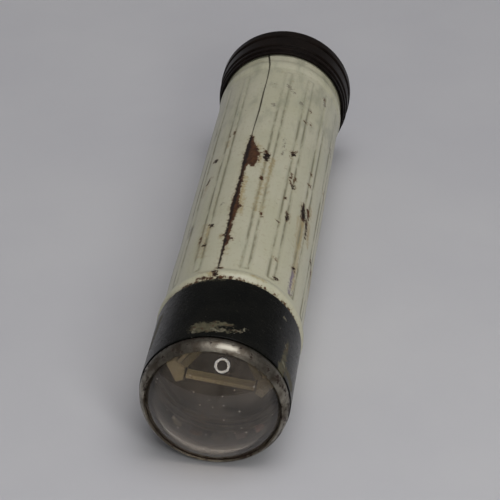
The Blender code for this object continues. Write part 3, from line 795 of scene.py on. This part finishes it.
# Rust patches and flakes; on the tube they paint no shade.
TUBE_MARKS["rust"] = [
    (97, -6.5, 93, -1.5, 1.0, 1.1), (93, -2.0, 88.5, -1.2, 1.0, 0.9), (90, -5, 86.6, -3, 1.8, 1.2),
    (63.4, -5, 62.8, -3.0, 0.35, 0.15), (48.8, -12, 48.4, -15.5, 0.35, 0.15),
    (46.4, -7, 45.4, -4.6, 0.6, 0.3), (76, -8, 75.6, -6.4, 0.35, 0.2), (95.4, 4.2, 94.4, 6, 0.25, 0.5),
    (93.4, 7.2, 89.8, 8.2, 0.9, 0.7), (80, 8, 78.8, 8, 0.45, 0.4), (32.2, -10.8, 31.9, -6.4, 0.3, 0.15),
    (95.4, -43.6, 94.6, -41, 0.8, 0.7), (85.4, -42.6, 82.6, -46, 0.45, 0.3),
    (55.6, -26.8, 54.6, -25.2, 0.6, 0.35), (55.6, -25.6, 54.8, -23.6, 0.3, 0.1),
    (45.8, -28.6, 45, -28.4, 0.55, 0.3), (50.4, -33.6, 48, -33.6, 0.35, 0.2),
    (98.8, 30, 98, 30.2, 0.75, 0.7), (96, 28.2, 95.6, 28.4, 0.3, 0.25),
    (100.8, 33.2, 100.5, 33.6, 0.25, 0.2), (87.2, 33.2, 85, 33, 0.3, 0.25),
    (86.6, 37, 84.6, 36.4, 0.35, 0.3), (83, 33.4, 82, 33.4, 0.35, 0.3), (82, 35.6, 81, 37.4, 0.7, 0.6),
    (73.6, 31.4, 72.8, 31.6, 0.25, 0.2), (66.8, 36.2, 63.6, 37.8, 0.5, 0.4),
    (34.6, 36.4, 34.3, 38.8, 0.55, 0.5), (42.8, 33.6, 42, 34.4, 0.2), (77.6, 51.6, 71, 53.4, 0.8, 1.0),
    (77.4, 58, 74.4, 60.6, 0.8, 0.5), (72, 58.4, 66.6, 61, 0.6, 0.35), (66, 60.4, 63.6, 60.6, 0.3, 0.2),
    (95.8, 53.6, 95.2, 53.8, 0.35, 0.3), (89.6, 53.4, 89, 55.4, 0.4, 0.25), (60, 78.4, 58.6, 82, 0.7, 0.6),
    (58.6, 82, 54.4, 88.6, 0.35, 0.3), (45.6, 53, 44.2, 54.6, 0.55, 0.4), (127.4, 39.4, 127.0, 40, 0.2),
    (119.8, 35.2, 119.6, 36.6, 0.35, 0.25), (121, 40.6, 120.6, 42, 0.2, 0.15),
    (31, -12.8, 28.2, -10.4, 0.35, 0.8), (28, -26, 27.3, -12, 0.2, 0.45), (27.4, -8, 27.3, 2, 0.3, 0.1),
    (141.2, 51.6, 140.6, 52.4, 0.25, 0.2), (61.4, 13.6, 59, 15.2, 0.2, 0.15),
    (60.8, 28.6, 60.6, 30, 0.25, 0.15), (97.4, 79.4, 96, 83, 0.2, 0.15),
    (109, -27.6, 106.6, -27.6, 0.2, 0.15), (107.4, -32, 106.4, -31.6, 0.25, 0.2),
    (71, -98, 68, -95, 0.7, 0.4), (118, -122, 115, -121, 0.6, 0.5), (88, 118, 84, 121, 0.8, 0.5),
    (46, 141, 44, 144, 0.6), (131, 152, 127, 153, 0.5, 0.3), (64, 175, 60, 177, 0.7, 0.5),
    (99, -160, 93, -158, 0.7, 0.4), (150.8, 96, 149.6, 112, 0.2, 0.35), (29.8, 104, 28.8, 122, 0.3, 0.2),
    (30, -118, 28.6, -101, 0.25, 0.35), (27.2, -58, 27.2, -26, 0.05, 0.25), (27.2, 2, 27.2, 38, 0.22, 0.0),
    (27.2, 38, 27.2, 82, 0.0, 0.12),
]
TUBE_MARKS["stain"] = [
    (89, 8, 62, 8, 0.35, 0.5), (91, 13.4, 78, 13.2, 0.6, 0.4), (78, 13.2, 62, 13.4, 0.35, 0.2),
    (79, -6.2, 60, -5.0, 0.5, 1.0), (98, -2, 88, 2.6, 0.6, 0.5), (57, -33.4, 40, -33, 0.6, 0.5),
    (55, -28, 39.5, -28, 0.6, 0.4), (83, -45, 76, -46.5, 0.6, 0.3), (49, -15, 47, -13, 0.5, 0.4),
    (69, 52, 36, 56, 1.6, 0.5), (72, 62, 62, 66, 1.2, 0.6), (80, 60, 76, 63, 0.8, 0.5),
    (59, 84, 48, 90, 1.6, 0.8), (98, 79, 94, 90, 0.8), (29.6, 18, 29.2, 27, 0.4),
    (41.6, -8, 38, -7, 0.4, 0.2), (31.4, -26, 28.4, -12, 0.3, 0.6), (104, -33, 100, -32, 0.7, 0.5),
    (82, 119, 70, 121, 1.0, 0.6), (92, -158, 80, -157, 1.0, 0.5), (66, -95, 58, -94, 0.9, 0.4),
]
TUBE_MARKS["violet"] = [
    (45.6, 53.6, 33.4, 53.2, 0.5, 0.4),
]
TUBE_MARKS["scuff"] = [
    (36, 57.2, 34, 56.8, 0.3, 0.2), (105, 20, 95, 21, 0.2, 0.15), (121, 36, 120, 42, 0.3, 0.2),
    (129.4, 27.6, 128.4, 28.2, 0.6, 0.5), (137, 11, 133, 19, 0.5, 0.4), (142, 52, 138, 53, 0.7, 0.6),
    (123, 77, 119, 81, 0.6, 0.4), (128, 37, 126.6, 40, 0.5, 0.3), (123.4, 3.2, 122, 3.8, 0.45, 0.4),
    (66, -21.6, 65.4, -21.4, 0.4, 0.3), (62, -52, 57, -53, 0.6, 0.5), (88, 101, 72, 104, 0.3, 0.2),
    (53, -101, 44, -103, 0.4, 0.3), (120, 140, 104, 138, 0.3),
]


def make_tube(material):
    """The rolled tinplate tube as one closed shell, its outer wall fine enough to carry flutes and seam."""
    angles = tube_columns()
    columns = len(angles)
    outer_depths = tube_rows()
    rear_bead = REAR_BEAD + np.array([3.3, 1.1, 0, -1.5, -3.9])
    front_bead = FRONT_BEAD + np.array([4.7, 2.1, 1.1, 0, -1.1])
    step = [NECK_STEP + 0.4, NECK_STEP - 0.6]
    inner_depths = np.concatenate([[TUBE.rear], rear_bead, [120, 90, 60], front_bead, step, [TUBE.front]])
    outer_grid = np.repeat(outer_depths[:, None], columns, 1)
    phi_grid = np.repeat(np.degrees(angles)[None, :], len(outer_depths), 0)
    outer = wall_radius(outer_grid) + tube_relief(outer_grid, phi_grid)
    inner_grid = np.repeat(inner_depths[:, None], columns, 1)
    inner = wall_radius(inner_grid) - WALL
    depth = np.vstack([outer_grid, inner_grid])
    mesh = lathe_mesh("tube_shell_fine", np.vstack([outer, inner]), depth, angles, TUBE_SHARP)
    paint_tube(mesh)
    add_piece("tube_shell_fine", mesh, "barrel", material, "tube_shell")


def paint_tube(mesh):
    """Paints the marks, the grime along the flutes, the seam's dark line, and the bare neck and inside."""
    depth, phi, radius = surface_points(mesh)
    outside = radius > wall_radius(depth) - 0.9 * WALL
    for name, strokes in {**TUBE_MARKS, "burst": seam_rust()}.items():
        field = marks_field(depth, phi, strokes, TUBE_RADIUS)
        paint(mesh, name, np.where(outside, field, -1.0))
    flute = flute_distance(depth, phi)
    fade = smooth_step(-depth, -146, -112) * 0.6 + 0.4
    paint(mesh, "grime", np.where(outside, np.exp(-(((flute - 0.3) / 0.4) ** 2)) * fade, 0.0))
    beside = np.abs(sideways(phi, seam_phi(depth)))
    line_half = 0.24 + 0.05 * np.sin(depth / 6) + 0.05 * smooth_step(depth, 136, 150)
    line = np.where(outside & (depth > FLUTE_FRONT - 1.5), line_half - beside, -1.0)
    paint(mesh, "seam", np.clip(line, -1, 1))
    paint(mesh, "smudge", np.where(outside, smooth_step(depth, 96, 122), 0.0))
    paint(mesh, "unpainted", np.where(outside & (depth > NECK_STEP - 0.3), 0.0, 1.0))


# ---------------- the other pieces


def make_collar(material):
    """The black sleeve the hand turns, its rear edge rolled in over the tube's neck."""
    outer = COLLAR.outer
    rear = COLLAR.rear
    profile = [
        (outer, COLLAR.front, 0.2), (outer, rear, 0.7), (COLLAR.inner, rear, 0.2),
        (COLLAR.inner, rear - WALL, 0.2), (outer - WALL, rear - WALL, 0.3), (outer - WALL, COLLAR.front, 0.2),
    ]
    piece = turned("grip_collar", rounded(profile), "front_cell", material,
                   step=0.45, columns=360)
    bare = [
        (3.5, -3.4, 3.3, 0, 0.3), (2.9, 1, 3.3, 4, 0.45, 0.5), (3.3, 5, 3.6, 8.8, 0.45, 0.2),
        (2.4, -16.6, 3.6, -16.4, 0.3), (5.7, 21.0, 6.0, 21.8, 0.35, 0.3), (4.3, 14, 4.6, 19, 0.12, 0.15),
        (21.4, 52.9, 21.3, 53.4, 0.35, 0.3), (11.9, 59.6, 11.4, 60.2, 0.25, 0.2),
        (4.6, 61, 4.2, 64, 0.25, 0.2), (2.2, 100, 1.4, 118, 0.4, 0.3), (5, -110, 4, -96, 0.3, 0.4),
        (25.6, 130, 25.9, 150, 0.25), (9, 160, 8, 176, 0.5, 0.3),
    ]
    # Rubbed wear down to the olive primer; on the collar these strokes are wear only.
    rubbed = [
        (4.4, -14.6, 4.6, -5, 2.0, 1.8), (5.4, -5, 6.0, 11, 1.2, 0.5), (3.2, -6, 3.4, 9, 0.8, 0.5),
        (3.6, 9, 4.6, 18, 0.3, 0.25), (14, 62, 1.0, 60, 0.3, 1.5), (4, 62, 3, 80, 1.0, 1.6),
        (20, -60, 9, -66, 1.2, 1.0), (3, 96, 2, 124, 1.6, 1.2), (5, -116, 5, -90, 1.5, 1.6),
        (12, 140, 9, 178, 1.6, 1.8), (25.9, -180, 25.9, 179, 0.05, 0.08),
    ]
    paint_marks(piece, outer, bare=bare, rubbed=rubbed)


def make_bezel(material):
    """The tin ring rolled over the glass's edge, with a skirt that runs inside the collar."""
    outer = BEZEL.outer
    rise = 10  # degrees round the roll at which it meets the ring's side
    reach = 50.5  # degrees round the roll at which its lip ends
    centre = (outer - BEZEL_ROLL * math.cos(math.radians(rise)), -0.05)
    inner_wall = outer - WALL
    inner_rise = math.degrees(math.acos((inner_wall - centre[0]) / (BEZEL_ROLL - WALL)))
    skirt = outer - 0.6
    seat = skirt - WALL
    step = 0.2
    points = arc(centre, BEZEL_ROLL, reach, rise + 6, 20)
    corners = [
        (outer - 0.09, -1.2, 0), (outer, -0.75, 0.4), (outer, step, 0.2), (skirt, step, 0.1),
        (skirt, BEZEL.rear, 0.15), (seat, BEZEL.rear, 0.1), (seat, step - WALL, 0.1),
        (inner_wall, step - WALL, 0.1), (inner_wall, -0.5, 0),
    ]
    points += rounded(corners, closed=False)
    points += arc(centre, BEZEL_ROLL - WALL, inner_rise, reach, 18)
    piece = turned("bezel_ring", points, "front_cell", material, step=0.5, columns=320)
    # Rust spots round the ring. The wide strokes round the bottom, from 78 to 180 and from -180 to -96 degrees,
    # are painted shade: they darken the underside of the roll and its lip.
    rust = [
        (-2.4, -42, -2.4, -41, 0.4, 0.3), (-2.0, -33, -2.2, -30, 0.3, 0.25),
        (-1.6, 58, -2.2, 62, 0.5, 0.3), (-2.2, 66, -1.6, 72, 0.3, 0.4), (-1.2, -70, -1.0, -58, 0.25),
        (-1.5, 84, -1.0, 96, 0.4, 0.3), (0.0, -180, 0.0, 179, 0.1), (-1.3, 116, -1.3, 179, 1.4, 2.8),
        (-1.3, -180, -1.3, -128, 2.8, 1.4), (-0.4, 78, -0.6, 118, 0.2, 0.8),
        (-0.6, -122, -0.4, -96, 0.7, 0.2), (-3.2, 88, -3.0, 112, 0.3, 0.5),
    ]
    # Painted highlight: a lighter patch on the roll's top, right of its middle, where the overhead lamp's
    # reflection falls.
    rubbed = [(-2.5, 5, -2.2, 18, 0.6, 0.5), (-3.1, 10, -2.9, 21, 0.25, 0.2)]
    paint_marks(piece, outer, rust=rust, rubbed=rubbed)


def make_dome(material):
    """The domed glass, of even thickness like a deep watch glass, with a ground rear edge."""
    edge = DOME.outer
    rear = DOME.rear
    centre = DOME_RADIUS + DOME.front
    inside = DOME_RADIUS - DOME_WALL
    reach = math.degrees(math.acos(edge / DOME_RADIUS))
    inner_reach = math.degrees(math.asin((centre - rear) / inside))
    points = arc((0, centre), DOME_RADIUS, 90, reach, 40)
    points += [(edge, rear - 0.3), (edge - 0.1, rear - 0.06), (edge - 0.4, rear)]
    points += arc((0, centre), inside, inner_reach, 90, 36)
    turned("dome_glass", points, "front_cell", material, closed=False, step=5.0, columns=240)


def make_cap(material):
    """The moulded eyepiece cap with its stepped ribs, the eye hole and the boss that seats the eye glass."""
    outer = CAP.outer
    rear = CAP.rear
    eye = CAP.inner
    end_wall = rear - 1.8
    seat = 9.8  # radius inside the boss that seats the eye glass
    boss = 11.0
    boss_front = rear - 5.6
    bore = 19.75
    ribs = [  # how far in from the widest rib, height above the rear face, corner
        (1.88, 13.8, 0.25), (1.08, 13.8, 0.4), (1.08, 12.8, 0.2), (1.38, 12.5, 0.15), (1.38, 12.0, 0.15),
        (0.68, 11.7, 0.2), (0.68, 10.3, 0.2), (0.98, 10.0, 0.15), (0.98, 9.5, 0.15), (0.33, 9.2, 0.2),
        (0.33, 4.5, 0.2), (0.63, 4.2, 0.15), (0.63, 3.7, 0.15), (0.0, 3.4, 0.25), (0.0, 0.0, 0.6),
    ]
    profile = [(outer - inset, rear - up, bend) for inset, up, bend in ribs]
    profile += [(eye + 0.8, rear, 0.3), (eye, rear - 0.8, 0.3), (eye, end_wall, 0.1)]
    profile += [(seat, end_wall, 0.15), (seat, boss_front, 0.15), (boss, boss_front, 0.15)]
    profile += [(boss, end_wall, 0.3), (bore, end_wall, 0.3)]
    piece = turned("eyepiece_cap", rounded(profile), "barrel", material,
                   step=1.2, columns=320)
    radius = surface_points(piece.data)[2]
    paint(piece.data, "ridge", np.clip(np.minimum(radius - (outer - 1.2), 1.0) - 0.25, -1, 1))


def dress(node, material, merge=0.005, edge=0.12, segments=2):
    """A CAD piece keeps its own mesh and gets eased edges and a proper material."""
    piece = frame["nodes"][node]
    piece.modifiers.new("weld", "WELD").merge_threshold = merge * MM
    bevel = piece.modifiers.new("edges", "BEVEL")
    bevel.width = edge * MM
    bevel.segments = segments
    piece.data.materials.clear()
    piece.data.materials.append(material)
    return piece


def dress_chip(node, material):
    """A loose lump of glass: the CAD chip with its edges melted round and its faces bowed."""
    chip = dress(node, material, merge=0.01, edge=0.35, segments=3)
    soften = chip.modifiers.new("melted", "SUBSURF")
    soften.levels = 2
    soften.render_levels = 2
    chip.data.shade_smooth()


# ---------------- stage


def make_floor(material):
    """The wide flat surface that the kaleidoscope lies on."""
    mesh = bpy.data.meshes.new("floor")
    work = bmesh.new()
    bmesh.ops.create_grid(work, x_segments=2, y_segments=2, size=3.0)
    work.to_mesh(mesh)
    work.free()
    mesh.materials.append(material)
    put("floor", mesh)


def aim(thing, place, way, axis):
    """Puts the object at that place, with its own axis along the way."""
    thing.location = place
    thing.rotation_mode = "QUATERNION"
    thing.rotation_quaternion = way.to_track_quat(axis, "Y")


def make_ring_lamp(strength):
    """The ring lamp round the camera's lens, seen as a small ring in the glass."""
    camera = bpy.context.scene.camera
    away = (camera.location - BEZEL_CENTRE).normalized()
    bpy.ops.mesh.primitive_torus_add(major_segments=64, minor_segments=16,
                                     major_radius=RING_LAMP_RADIUS, minor_radius=RING_LAMP_TUBE)
    lamp = bpy.context.object
    lamp.name = "ring_lamp"
    aim(lamp, camera.location + away * RING_LAMP_BEHIND, away, "Z")
    g = Graph("lamp_glow")
    g.set(Emission_Color=(1, 0.99, 0.96, 1), Emission_Strength=strength, Base_Color=(0, 0, 0, 1))
    lamp.data.materials.append(g.material)
    lamp.visible_camera = False


def make_fill(watts):
    """A soft fill lamp beside the camera. It lights matt surfaces only, so it doesn't show in the glass."""
    data = bpy.data.lights.new("fill", "AREA")
    data.shape = "DISK"
    data.size = FILL_SIZE
    data.energy = watts
    lamp = put("fill", data)
    offset = Vector(FILL_OFFSET)
    aim(lamp, BEZEL_CENTRE + offset, offset, "Z")
    lamp.visible_camera = False
    lamp.visible_glossy = False
    lamp.visible_transmission = False


def make_world(dark, bright, pale_wall):
    """A dim room with one soft light overhead, a little to the right, and a pale wall behind the floor."""
    world = bpy.data.worlds.new("room")
    bpy.context.scene.world = world
    world.use_nodes = True
    world.node_tree.nodes.clear()
    room = Nodes(world.node_tree)
    way = room.add("TexCoord").outputs["Generated"]
    facing = room.add("VectorMath", {0: way, 1: LIGHT_WAY}, operation="DOT_PRODUCT").outputs["Value"]
    glow = room.step(facing, LIGHT_EDGE, 1.0, dark, bright)
    light = room.add("Background", {"Color": ROOM_COLOUR, "Strength": glow}).outputs[0]
    wall = room.add("Background", {"Color": ROOM_COLOUR, "Strength": pale_wall}).outputs[0]
    seen = room.add("LightPath").outputs["Is Camera Ray"]
    room.add("OutputWorld", {"Surface": room.add("MixShader", {0: seen, 1: light, 2: wall}).outputs[0]})


def make_camera():
    """A long lens above and in front of the dome, a little to its right."""
    data = bpy.data.cameras.new("camera")
    data.sensor_width = 36.0
    data.lens = CAMERA_LENS
    data.clip_start = 0.01
    data.clip_end = 20.0
    camera = put("camera", data)
    yaw = math.radians(CAMERA_YAW)
    pitch = math.radians(CAMERA_PITCH)
    ahead = Vector((math.sin(yaw) * math.cos(pitch), math.cos(yaw) * math.cos(pitch), -math.sin(pitch)))
    aim(camera, BEZEL_CENTRE + Vector(CAMERA_OFFSET), ahead, "-Z")
    bpy.context.scene.camera = camera


# ---------------- assembly

make_camera()
bpy.context.scene.view_settings.view_transform = "Standard"

# The tin's spot colour also paints the shade along the bezel's underside.
TIN = worn_metal("tin", (150, 145, 132), (92, 84, 73), (46, 33, 25), rough=0.36, pits=0.41, marked=True)
DARK_TIN = worn_metal("dark_tin", (48, 44, 39), (34, 30, 27), (28, 21, 17), rough=0.6, pits=0.3)
STEEL = worn_metal("spring_steel", (104, 101, 96), (76, 72, 67), (54, 40, 31), rough=0.45, pits=0.22)
BRASS = worn_metal("brass", (196, 166, 104), (142, 112, 66), (70, 62, 40), rough=0.34, pits=0.2)
DOME_GLASS = glass("dome_glass", (213, 202, 186), haze=0.02, worn=0.8)
CLEAR_GLASS = glass("clear_glass", (232, 234, 230), haze=0.01, worn=0.4)
CREAM_CARD = card("cream_card", (252, 246, 224), (226, 216, 182), 0.4)
KRAFT_CARD = card("kraft_card", (74, 62, 48), (52, 43, 33), 0.4)
BLACK_CARD = card("black_card", (34, 30, 28), (22, 19, 18), 0.4)
FELT = card("felt", (70, 60, 54), (44, 37, 33), 0.25)
DARK_FELT = card("dark_felt", (40, 35, 31), (25, 22, 20), 0.25)
MIRROR = mirror_strip()

make_tube(cream_enamel())
make_collar(black_enamel())
make_bezel(TIN)
make_dome(DOME_GLASS)
make_cap(black_moulding())
for row in (
    ("dome_gasket", "front_cell", DARK_FELT, "felt"),
    ("cell_spacer_ring", "front_cell", DARK_TIN, "tin"),
    ("cell_back_glass", "front_cell", CLEAR_GLASS, "clear_glass", GLASS_BEND, True),
    ("cell_snap_ring", "front_cell", STEEL, "steel", WIRE_BEND),
    ("friction_sleeve", "barrel", KRAFT_CARD, "card"),
    ("front_stop_ring", "barrel", BLACK_CARD, "dark_card"),
    ("prism_sleeve", "barrel", BLACK_CARD, "dark_card"),
    ("rear_centring_ring", "barrel", CREAM_CARD, "card"),
    ("eye_gasket", "barrel", FELT, "felt"),
    ("eye_glass", "barrel", CLEAR_GLASS, "clear_glass", GLASS_BEND, True),
    ("eye_glass_ring", "barrel", BRASS, "brass"),
    ("eye_plate", "barrel", BLACK_CARD, "dark_card"),
    ("cushion_ring", "barrel", FELT, "felt"),
):
    plain_turned(*row)
for side in ("base", "right", "left"):
    dress("mirror_" + side, MIRROR)
    dress("backing_" + side, CREAM_CARD)
for end in ("front", "rear"):
    dress("prism_band_" + end, FELT)
    for place in ("right", "top", "left"):
        dress("packing_" + end + "_" + place, CREAM_CARD)
for name, tint in (("amber", (196, 140, 70)), ("violet", (168, 140, 176)), ("smoke", (130, 120, 114)),
                   ("rose", (204, 140, 146))):
    dress_chip("chip_" + name, glass(name + "_glass", tint))
dress_chip("chip_clear", CLEAR_GLASS)

make_floor(floor_paper())
make_world(dark=0.12, bright=3.0, pale_wall=0.42)
make_ring_lamp(strength=6.0)
make_fill(watts=0.62)
